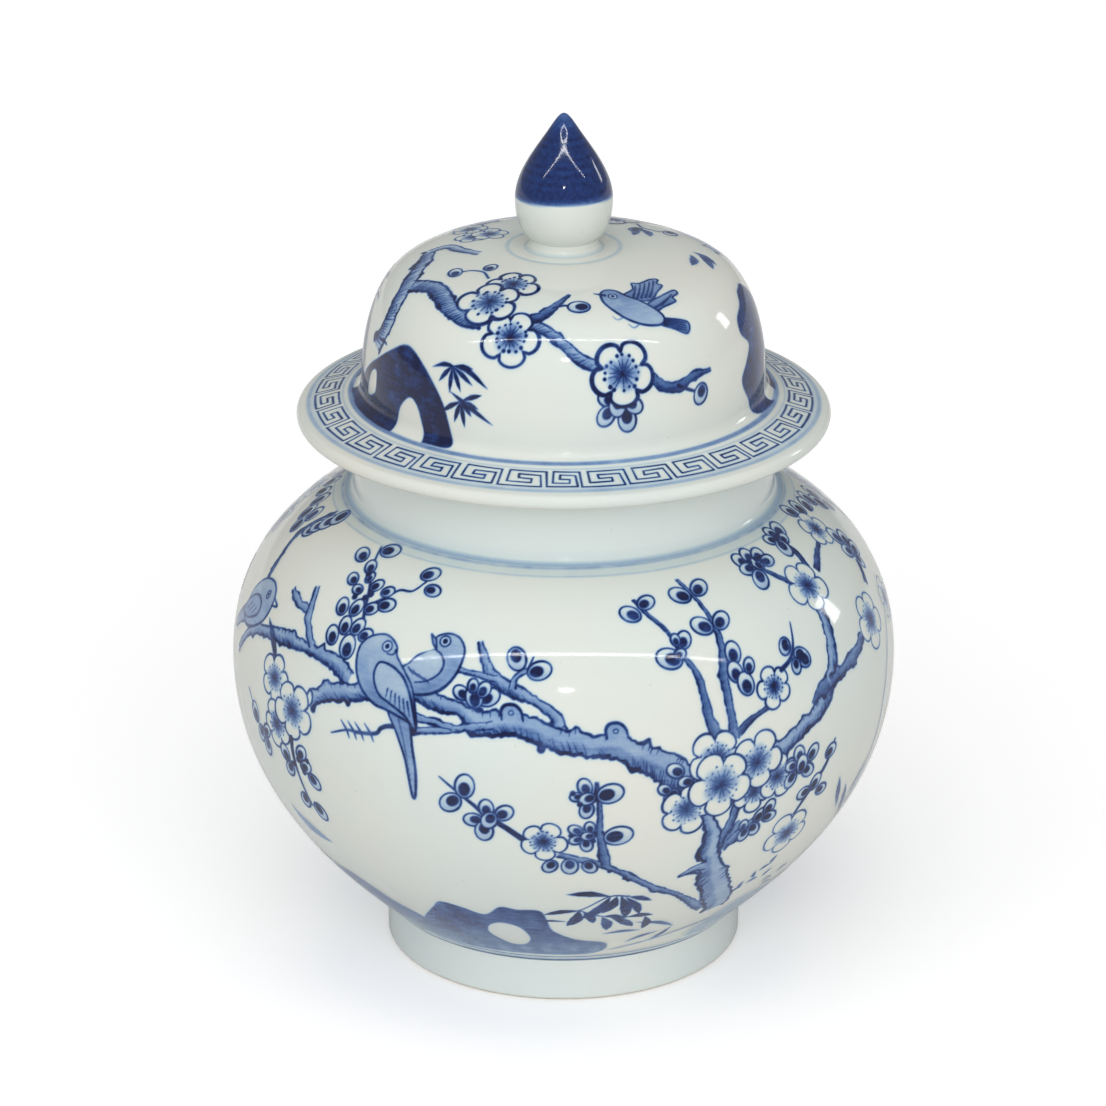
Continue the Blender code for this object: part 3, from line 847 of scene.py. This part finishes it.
    # the buds and blossoms low on the right
    twig(c, [(44.5, 87), (47, 95), (50.6, 104), (52.6, 113)], (1.4, 2.2, 0.9))
    buds(c, [(43.2, 113.5, 3.6, 20), (46.6, 112, 3.6, -40), (41.6, 104, 3.6, 150),
        (45.6, 105.4, 3.6, -120), (44, 109, 3.8, 0), (41.4, 109.6, 3, 80), (48.4, 98.4, 3.6, -30),
        (45.6, 95.4, 3.4, 100), (50.6, 93.4, 3.2, -100), (51.6, 109, 3.4, -60)])
    blossom(c, (44.5, 77.5), 11, 20, 0.6)
    leaf(c, [(66, 66), (63, 76), (60.4, 87)], 3.8, 0.80)
    leaf(c, [(60.4, 76), (58, 85), (56.4, 94)], 3.2, 0.74)
    leaf(c, [(64, 78), (66.4, 84), (69, 91)], 3, 0.6)
    twig(c, [(66, 72), (69, 86), (71.3, 99), (72.7, 113), (75.9, 129), (80, 140)], (1.6, 1, 0.6), 0.56)
    for degrees, up, turn in ((38.6, 48, 40), (39.4, 51, 100), (42, 51.5, 20), (41.6, 56, 110),
            (43.4, 58.6, 30), (45, 62, 80), (48.6, 46, 10), (46, 53, 60), (52, 50, 30), (50, 42, 0)):
        leaf(c, c.place((degrees, up), [(-2.4, 0), (0, 0.8), (2.8, 0)], turn), 2.2, 0.66)
    wash(c, [(38, 8), (40, 28), (46, 38), (58, 38), (76, 26), (86, 12), (60, 6)], 0.34, 0.22, soft=3)
    for k in range(10):
        leaf(c, [(12 + 2.4 * k, 10 + 1.2 * k), (16 + 2.4 * k, 12 + 1.3 * k),
            (20 + 2.4 * k, 14 + 1.2 * k)], 1.4, 0.5)


def unrolled(outline, columns, cell):
    """An empty canvas for an outline."""
    return Canvas(outline, columns, cell)


def paint_twice(c, painting):
    """Paint the front, then the same painting again on the back."""
    painting(c)
    front = c.ink
    c.ink = np.zeros_like(front)
    painting(c)
    c.ink = np.maximum(front, np.roll(c.ink, c.columns // 2, axis=1))


def jar_canvas():
    c = unrolled(belly_below() + belly_above()[1:], JAR_COLUMNS, JAR_CELL)
    paint_twice(c, birds_and_plum)
    for up, width, tone in ((1.0, 1.5, 0.84), (4.4, 1.2, 0.46), (2.8, 3.6, 0.12),
                            (c.length - 0.7, 1.5, 0.26), (c.length - 2.6, 3.0, 0.07),
                            (c.length - 4.6, 0.9, 0.20)):
        ring_line(c, up, width, tone)
    fire(c)
    return c


def fret(c, low, high, units, join):
    """The square-spiral border, with a narrow unit, join degrees wide, where its ends meet."""
    step = (360.0 - join) / units
    spiral = [(0.0, 0.0), (0.88, 0.0), (0.85, 0.76), (0.38, 0.76), (0.38, 0.50), (0.66, 0.50),
              (0.66, 0.25), (0.17, 0.25), (0.16, 1.0), (0.97, 1.0), (1.0, 0.0)]
    start = join / 2
    for k in range(units + 1):
        wide = step if k < units else join
        path = [(start + wide * (x + rng.uniform(-0.012, 0.012)),
                 low + (high - low) * (y + rng.uniform(-0.03, 0.03))) for x, y in spiral]
        for a, b in zip(path, path[1:]):
            stroke(c, [a, b], rng.uniform(0.54, 0.80, 2), rng.uniform(0.98, 1.22), straight=True)
        start += wide


def plum_and_bird(c):
    """A plum branch from the rocks, a flying bird and hanging bamboo."""
    smooth_bark = {"hatch": (0.6, 0.95), "rugged": 0.4}
    branch(c, [(-70, 50), (-67.4, 58), (-66.8, 66), (-69, 74), (-75, 81)], (7, 6.4, 6.6, 6.4), tone=0.24,
        **smooth_bark)
    stroke(c, c.place((-67, 66), oval(1.3, 1.8)), 0.6, 0.8, closed=True)
    branch(c, [(-67.6, 77), (-62, 80), (-56.6, 81.3), (-50, 79.4), (-43.6, 76), (-36, 73.2), (-28, 72.6)],
        (5.6, 6, 5.4, 5), **smooth_bark)
    branch(c, [(-11, 74.5), (-5, 71.5), (0, 66.5), (5, 61.2), (10, 58.6)], (4.2, 3.8, 3.8), **smooth_bark)
    branch(c, [(-12, 76), (-8, 78), (-3.6, 83.4), (2.2, 90.6)], (2.8, 2.4, 0.8), bark=False, tone=0.6)
    twig(c, [(-4, 82.6), (0, 84), (3, 83.4)], (1.2, 1))
    twig(c, [(-58.6, 93), (-55, 97), (-48, 98.6), (-41, 96)], (0.8, 1))
    buds(c, [(5.6, 83.2, 4, 90), (-60, 92, 3.4, 60), (-50, 103, 3, 20)])
    blossom(c, (-25.8, 95.4), 9.8, 20, 1.3)
    blossom(c, (-17, 68.4), 11, 30, 1.35)
    blossom(c, (-29.4, 82.4), 11.6, 12, 1.4)
    branch(c, [(24, 54.6), (28, 50.2), (31.4, 48), (35.5, 48.2), (39.6, 49.8), (46.4, 50.4)],
        (3, 2.6, 2.2, 0.7), tone=0.6)
    twig(c, [(34, 48), (37.4, 45.6), (40.4, 44)], (1.6, 1))
    buds(c, [(41.6, 42.8, 4, 150), (12, 46.5, 3.4, 60), (11.6, 40.5, 4, 150), (17.6, 38.4, 4.4, 185),
        (19.6, 43.6, 3.8, -130), (15, 44, 4.2, 175)])
    blossom(c, (17, 55.4), 12.2, 18, 1.4)
    flying_bird(c, (26.4, 82.4), -10, 0.84)
    twig(c, [(21, 76.4), (18.4, 75.4), (17, 77)], (0.7, 0.4), 0.5)
    twig(c, [(25.6, 72.6), (23, 71.4), (21.6, 73)], (0.7, 0.4), 0.5)
    rock(c, [(-84, 24), (-80, 34), (-73, 42), (-66, 48), (-60, 53), (-54, 57), (-49, 56), (-42, 50),
        (-36, 41), (-33, 31), (-32.5, 25), (-40, 24), (-62, 23)],
        holes=[[(-53, 21), (-53, 32), (-50, 38), (-47, 39), (-44, 34), (-42, 21)],
        [(-73, 31), (-71, 40), (-67, 42), (-67, 34)]], tone=1, top=0.92)
    rock(c, [(70, 24), (63.5, 33), (60.5, 41), (65, 47), (68.5, 52), (65, 57), (66, 62.5), (72, 66),
        (77, 70), (85, 69), (92, 60), (98, 50), (101, 36), (102, 24)],
        holes=[[(80, 24), (80, 36), (84, 42), (89, 36), (90, 24)]], tone=0.90, top=0.84)
    sprig(c, (-34, 55), -60, 9.5, 5)
    leaf(c, [(-33, 55), (-28, 54), (-22, 49)], 2, 0.97)
    leaf(c, [(-41, 53), (-37, 55), (-33, 55)], 1.8, 0.97)
    sprig(c, (-30, 43), -60, 9, 6)
    leaf(c, [(-34, 46), (-28, 42), (-20, 36)], 2, 0.97)


def crown_marks(c):
    """What lies across the line where the lid's two sides meet."""
    branch(c, [(-74, 80), (-84, 86), (-95, 88)], (6, 5, 4), tone=0.24, hatch=(0.6, 0.95), rugged=0.4)
    branch(c, [(-95, 88), (-97, 95), (-88, 100), (-78, 106)], (3.8, 4.2, 3.2), tone=0.24, rugged=0.4)
    for degrees, up, turn in ((90, 88, 215), (93, 90, 235), (88, 91, 190), (134, 103, 150),
            (130, 101, 170)):
        leaf(c, c.place((degrees, up), [(0, 0), (5, 0.8), (11, 0)], turn), 3.6, 0.7)
    for degrees, up, size in ((-112, 101, 6.4), (-120, 106, 7), (-127, 94, 7.4)):
        blossom(c, (degrees, up), size, degrees, 0.6)


def lid_canvas():
    c = unrolled(brim_top(start=0) + dome_side()[1:], LID_COLUMNS, LID_CELL)
    paint_twice(c, plum_and_bird)
    crown_marks(c)
    fret(c, low=8.8, high=17.8, units=32, join=7.8)
    for up, width, tone in ((6.2, 1.8, 0.26), (7.6, 1.6, 0.10), (19.4, 0.8, 0.20), (22.6, 2.2, 0.44),
                            (c.length - 7.0, 1.6, 0.16)):
        ring_line(c, up, width, tone)
    fire(c)
    return c


# ---------------------------------------------------------------- the painted film

def film(canvas, name, body, material, sectors):
    """Mesh the inked cells of a canvas as thin sheets of glaze, one for each sector of the round."""
    inked = canvas.ink > FAINTEST
    cell = inked[:-1] | inked[1:]
    cell = cell | np.roll(cell, -1, axis=1)
    angles = np.arange(canvas.columns) / canvas.columns * math.tau
    radius = (canvas.radius + canvas.out * FILM)[:, None]
    height = (canvas.height + canvas.over * FILM)[:, None]
    positions = swept(radius, height, angles)
    flat_ink = canvas.ink.ravel()
    rows, cols = np.nonzero(cell)
    share = canvas.columns // sectors
    for k in range(sectors):
        mine = (cols // share) == k
        r, c = rows[mine], cols[mine]
        quads = cell_quads(r, c, r + 1, (c + 1) % canvas.columns, canvas.columns)
        used, quads = np.unique(quads, return_inverse=True)
        quads = quads.reshape(-1, 4)
        piece = new_mesh(f"{name}_{k + 1}", positions[used], quads, material,
                         {"ink": flat_ink[used], "bare": np.zeros(len(used))})
        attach(piece, body)


# ---------------------------------------------------------------- the turned pieces

def foot():
    edge = 2.0
    top = BODY_BOTTOM
    outline = [(60.0, top), (60.0, top - 0.3), (60.4, 2.4), (60.9, 0.6), (61.5, 0.0)]
    outline += [(FOOT_RADIUS - edge, 0.0)]
    outline += arc((FOOT_RADIUS - edge, edge), edge, -86, 0, 10)
    outline += [(FOOT_RADIUS, z) for z in (4.0, 8.0, 12.0, 15.0, top - 0.3, top)]

    def bare(radius, height):
        return np.clip((1.1 - height) / 0.7, 0.0, 1.0)
    # The foot gets the lighter glaze copy: painted light that brightens it in the belly's shade.
    turned("foot_ring_porcelain", "foot_ring", "jar", outline, COOL_GLAZE_PAINTED_LIGHTER, bare=bare)


def lower_body():
    inside = BELLY_RADIUS - WALL
    floor = BODY_BOTTOM + 6.0
    outline = [(0.0, BODY_BOTTOM + 1.0), (56.0, BODY_BOTTOM)] + belly_below()
    outline += curve((inside, BELLY_HEIGHT), (inside, 66.0), (82.0, 40.0), (66.0, floor + 2.0), 40)
    outline += [(60.0, floor), (0.0, floor)]
    turned("jar_lower_body_porcelain", "jar_lower_body", "jar", outline, GLAZE, closed=False)


def upper_body():
    inside = BELLY_RADIUS - WALL
    mouth = NECK_INNER + 0.5
    outline = belly_above() + [(mouth, SHOULDER_HEIGHT)]
    outline += curve((mouth, SHOULDER_HEIGHT - 3.5), (112.0, 158.5), (inside, 136.0),
                     (inside, BELLY_HEIGHT), 40)
    turned("jar_upper_body_porcelain", "jar_upper_body", "jar", outline, GLAZE)


def neck():
    cove, lip = 3.4, 1.8
    bottom = SHOULDER_HEIGHT
    outline = [(NECK_INNER, bottom)] + arc((NECK_RADIUS + cove, bottom + cove), cove, 270, 180, 14)
    outline += [(NECK_RADIUS, z) for z in np.linspace(bottom + 5, NECK_TOP - 4, 12)]
    outline += arc((NECK_RADIUS - lip, NECK_TOP - lip), lip, 0, 90, 10)
    outline += arc((NECK_INNER + lip, NECK_TOP - lip), lip, 90, 180, 8)

    def ink(radius, height, angles):
        up = height - bottom + 0.12 * np.sin(3 * angles)
        return 0.22 * np.clip(1.2 - up, 0.0, 1.0) + 0.06 * np.clip(1.0 - up / 5.0, 0.0, 1.0) * (radius > 74)

    def bare(radius, height):
        return np.clip((height - NECK_TOP + 0.5) / 0.5, 0.0, 0.7)
    # The neck gets the lighter glaze copy: painted light that brightens it in the brim's shade.
    turned("neck_porcelain", "neck", "jar", outline, COOL_GLAZE_PAINTED_LIGHTER, ink, bare)


def lid_shell():
    ceiling = CROWN - WALL
    inside = DOME_RADIUS - WALL
    outline = [(0.0, ceiling)]
    outline += curve((14.0, ceiling), (36.0, LID_SEAT + 61.3), (52.0, LID_SEAT + 57.8),
                     (58.0, LID_SEAT + 53.2), 16)
    outline += curve((58.0, LID_SEAT + 53.2), (67.0, LID_SEAT + 46.0), (inside, LID_SEAT + 30.0),
                     (inside, LID_SEAT + 16.0), 16)[1:]
    outline += [(66.5, LID_SEAT + 6.0), (66.5, LID_SEAT), (80.0, LID_SEAT), (90.0, LID_SEAT)]
    outline += brim_top() + dome_side()[1:] + [(0.0, CROWN)]

    def bare(radius, height):
        edge = np.clip((LID_SEAT + 1.6 - height) / 1.4, 0.0, 1.0) * (radius > 92)
        return 0.55 * edge + 0.35 * (height < LID_SEAT + 0.2) * (radius > 70)
    turned("lid_porcelain", "lid_shell", "lid", outline, GLAZE, bare=bare, closed=False)


def locating_ring():
    inside, outside = 67.0, 71.5
    bottom = LID_SEAT - 14.3
    outline = [(inside, LID_SEAT), (inside, bottom + 0.8)]
    outline += arc((inside + 0.8, bottom + 0.8), 0.8, 180, 270, 5)
    outline += arc((outside - 1.2, bottom + 1.2), 1.2, -90, 0, 6)
    outline += [(outside, LID_SEAT - 3.0), (outside, LID_SEAT)]

    def bare(radius, height):
        return 0.6 + 0.0 * height
    turned("lid_locating_ring_porcelain", "lid_locating_ring", "lid", outline, GLAZE, bare=bare)


def finial():
    base = CROWN
    collar = (12.7, base + 3.7)
    widest = (18.0, TIP - 32.3)
    cone = (7.6, TIP - 9.2)
    outline = [(0.0, base), (14.8, base)] + arc((16.0, base + 2.9), 3.2, 245, 180, 8)[1:]
    outline += curve(collar, (16.4, base + 6.9), (18.0, base + 11.7), widest, 30)
    outline += curve(widest, (18.0, TIP - 24.1), (12.5, TIP - 16.3), cone, 30)[1:]
    outline += curve(cone, (4.0, TIP - 4.0), (2.0, TIP), (0.0, TIP), 20)[1:]

    def ink(radius, height, angles):
        border = TIP - 30.6 + 0.2 * np.cos(angles) + 0.5 * np.sin(2 * angles + 1.0)
        above = height - border
        rings = 0.025 * np.sin(height * 2.1) + 0.02 * np.sin(height * 5.3 + angles)
        blue = 0.90 + rings - 0.22 * np.clip((height - TIP + 7) / 7, 0, 1)
        rim = -0.20 * np.exp(-((above - 0.3) / 1.2) ** 2)
        # A faint blue band on the finial's lowest 1.4 mm, where it meets the crown.
        base_band = 0.16 * np.clip(1 - (height - base) / 1.4, 0, 1)
        return np.clip(0.5 + above / 0.9, 0, 1) * (blue + rim) + base_band
    turned("finial_porcelain", "finial", "lid", outline, GLAZE, ink, closed=False)


# ---------------------------------------------------------------- studio

def add_light(name, kind, power):
    light = bpy.data.lights.new(name, kind)
    light.energy = power
    lamp = bpy.data.objects.new(name, light)
    bpy.context.scene.collection.objects.link(lamp)
    return light, lamp


def glint(name, place, size, power):
    """A small light that is seen only as its reflection in the glaze."""
    light, lamp = add_light(name, "AREA", power)
    light.shape = "RECTANGLE"
    light.size, light.size_y = size
    lamp.location = place
    aim = Vector((0.0, 0.0, 0.17)) - Vector(place)
    lamp.rotation_euler = aim.to_track_quat("-Z", "Y").to_euler()
    lamp.visible_diffuse = False


def sun_light(name, toward, angle, power):
    """A broad soft light, too wide to be seen in the glaze."""
    light, lamp = add_light(name, "SUN", power)
    light.angle = math.radians(angle)
    lamp.rotation_euler = Vector(toward).to_track_quat("Z", "Y").to_euler()
    lamp.visible_glossy = False


def seen(tree, elsewhere, direct, socket):
    """Give a socket one value where the camera looks straight at it, and another elsewhere."""
    sight = tree.nodes.new("ShaderNodeLightPath")
    choice = node(tree, "ShaderNodeMapRange", To_Min=elsewhere, To_Max=direct)
    tree.links.new(sight.outputs["Is Camera Ray"], choice.inputs["Value"])
    tree.links.new(choice.outputs["Result"], socket)


def studio():
    world = bpy.data.worlds.new("studio")
    bpy.context.scene.world = world
    world.use_nodes = True
    sky = world.node_tree.nodes["Background"]
    sky.inputs["Color"].default_value = (1.0, 1.0, 1.0, 1.0)
    seen(world.node_tree, 0.36, 1.0, sky.inputs["Strength"])
    bpy.context.scene.view_settings.view_transform = "Standard"

    floor_mesh = bpy.data.meshes.new("floor")
    wide = 6.0
    corners = [(-wide, -wide, 0), (wide, -wide, 0), (wide, wide, 0), (-wide, wide, 0)]
    floor_mesh.from_pydata(corners, [], [(0, 1, 2, 3)])
    floor = bpy.data.objects.new("floor", floor_mesh)
    bpy.context.scene.collection.objects.link(floor)
    paper = bpy.data.materials.new("floor_paper")
    paper.use_nodes = True
    shader = paper.node_tree.nodes["Principled BSDF"]
    shader.inputs["Base Color"].default_value = (0.86, 0.86, 0.86, 1.0)
    shader.inputs["Roughness"].default_value = 0.9
    shader.inputs["Emission Color"].default_value = (1.0, 1.0, 1.0, 1.0)
    seen(paper.node_tree, 0.0, 0.30, shader.inputs["Emission Strength"])
    floor_mesh.materials.append(paper)

    sun_light("key", (-0.15, -0.9, 1.35), 80, 1.55)
    sun_light("low front", (0.12, -1.0, 0.15), 70, 1.38)
    glint("ceiling tube", (0.0, -1.54, 2.25), (6.4, 0.020), 16.0)
    glint("ceiling lamp", (0.03, -2.1, 1.36), (0.14, 0.05), 2.4)
    glint("window", (2.20, 1.02, 0.86), (0.28, 0.52), 2.8)


def camera():
    """The angle of the reference view: from in front, looking a little down."""
    pitch_down = 21.656
    lens = bpy.data.cameras.new("camera")
    lens.sensor_width = 36.0
    lens.lens = 171.5
    lens.clip_end = 20.0
    view = bpy.data.objects.new("camera", lens)
    view.location = (-0.0040, -1.8412, 0.8849)
    view.rotation_euler = (math.radians(90 - pitch_down), 0.0, 0.0)
    bpy.context.scene.collection.objects.link(view)
    bpy.context.scene.camera = view


GLAZE = porcelain("white_porcelain", (0.65, 0.71, 0.68), (0.71, 0.71, 0.64))
# A cooler, lighter copy of the glaze for the foot and the neck. Its blue-green tint is partly thicker glaze
# and partly a painted reflection. Its extra lightness is painted light that brightens the parts shaded by
# the belly and the brim.
COOL_GLAZE_PAINTED_LIGHTER = porcelain("cool_porcelain_painted_lighter", (0.69, 0.77, 0.75), (0.73, 0.78, 0.75))

camera()
studio()
foot()
lower_body()
upper_body()
neck()
lid_shell()
locating_ring()
finial()
film(jar_canvas(), "jar_painting", "jar", GLAZE, 8)
film(lid_canvas(), "lid_painting", "lid", GLAZE, 6)
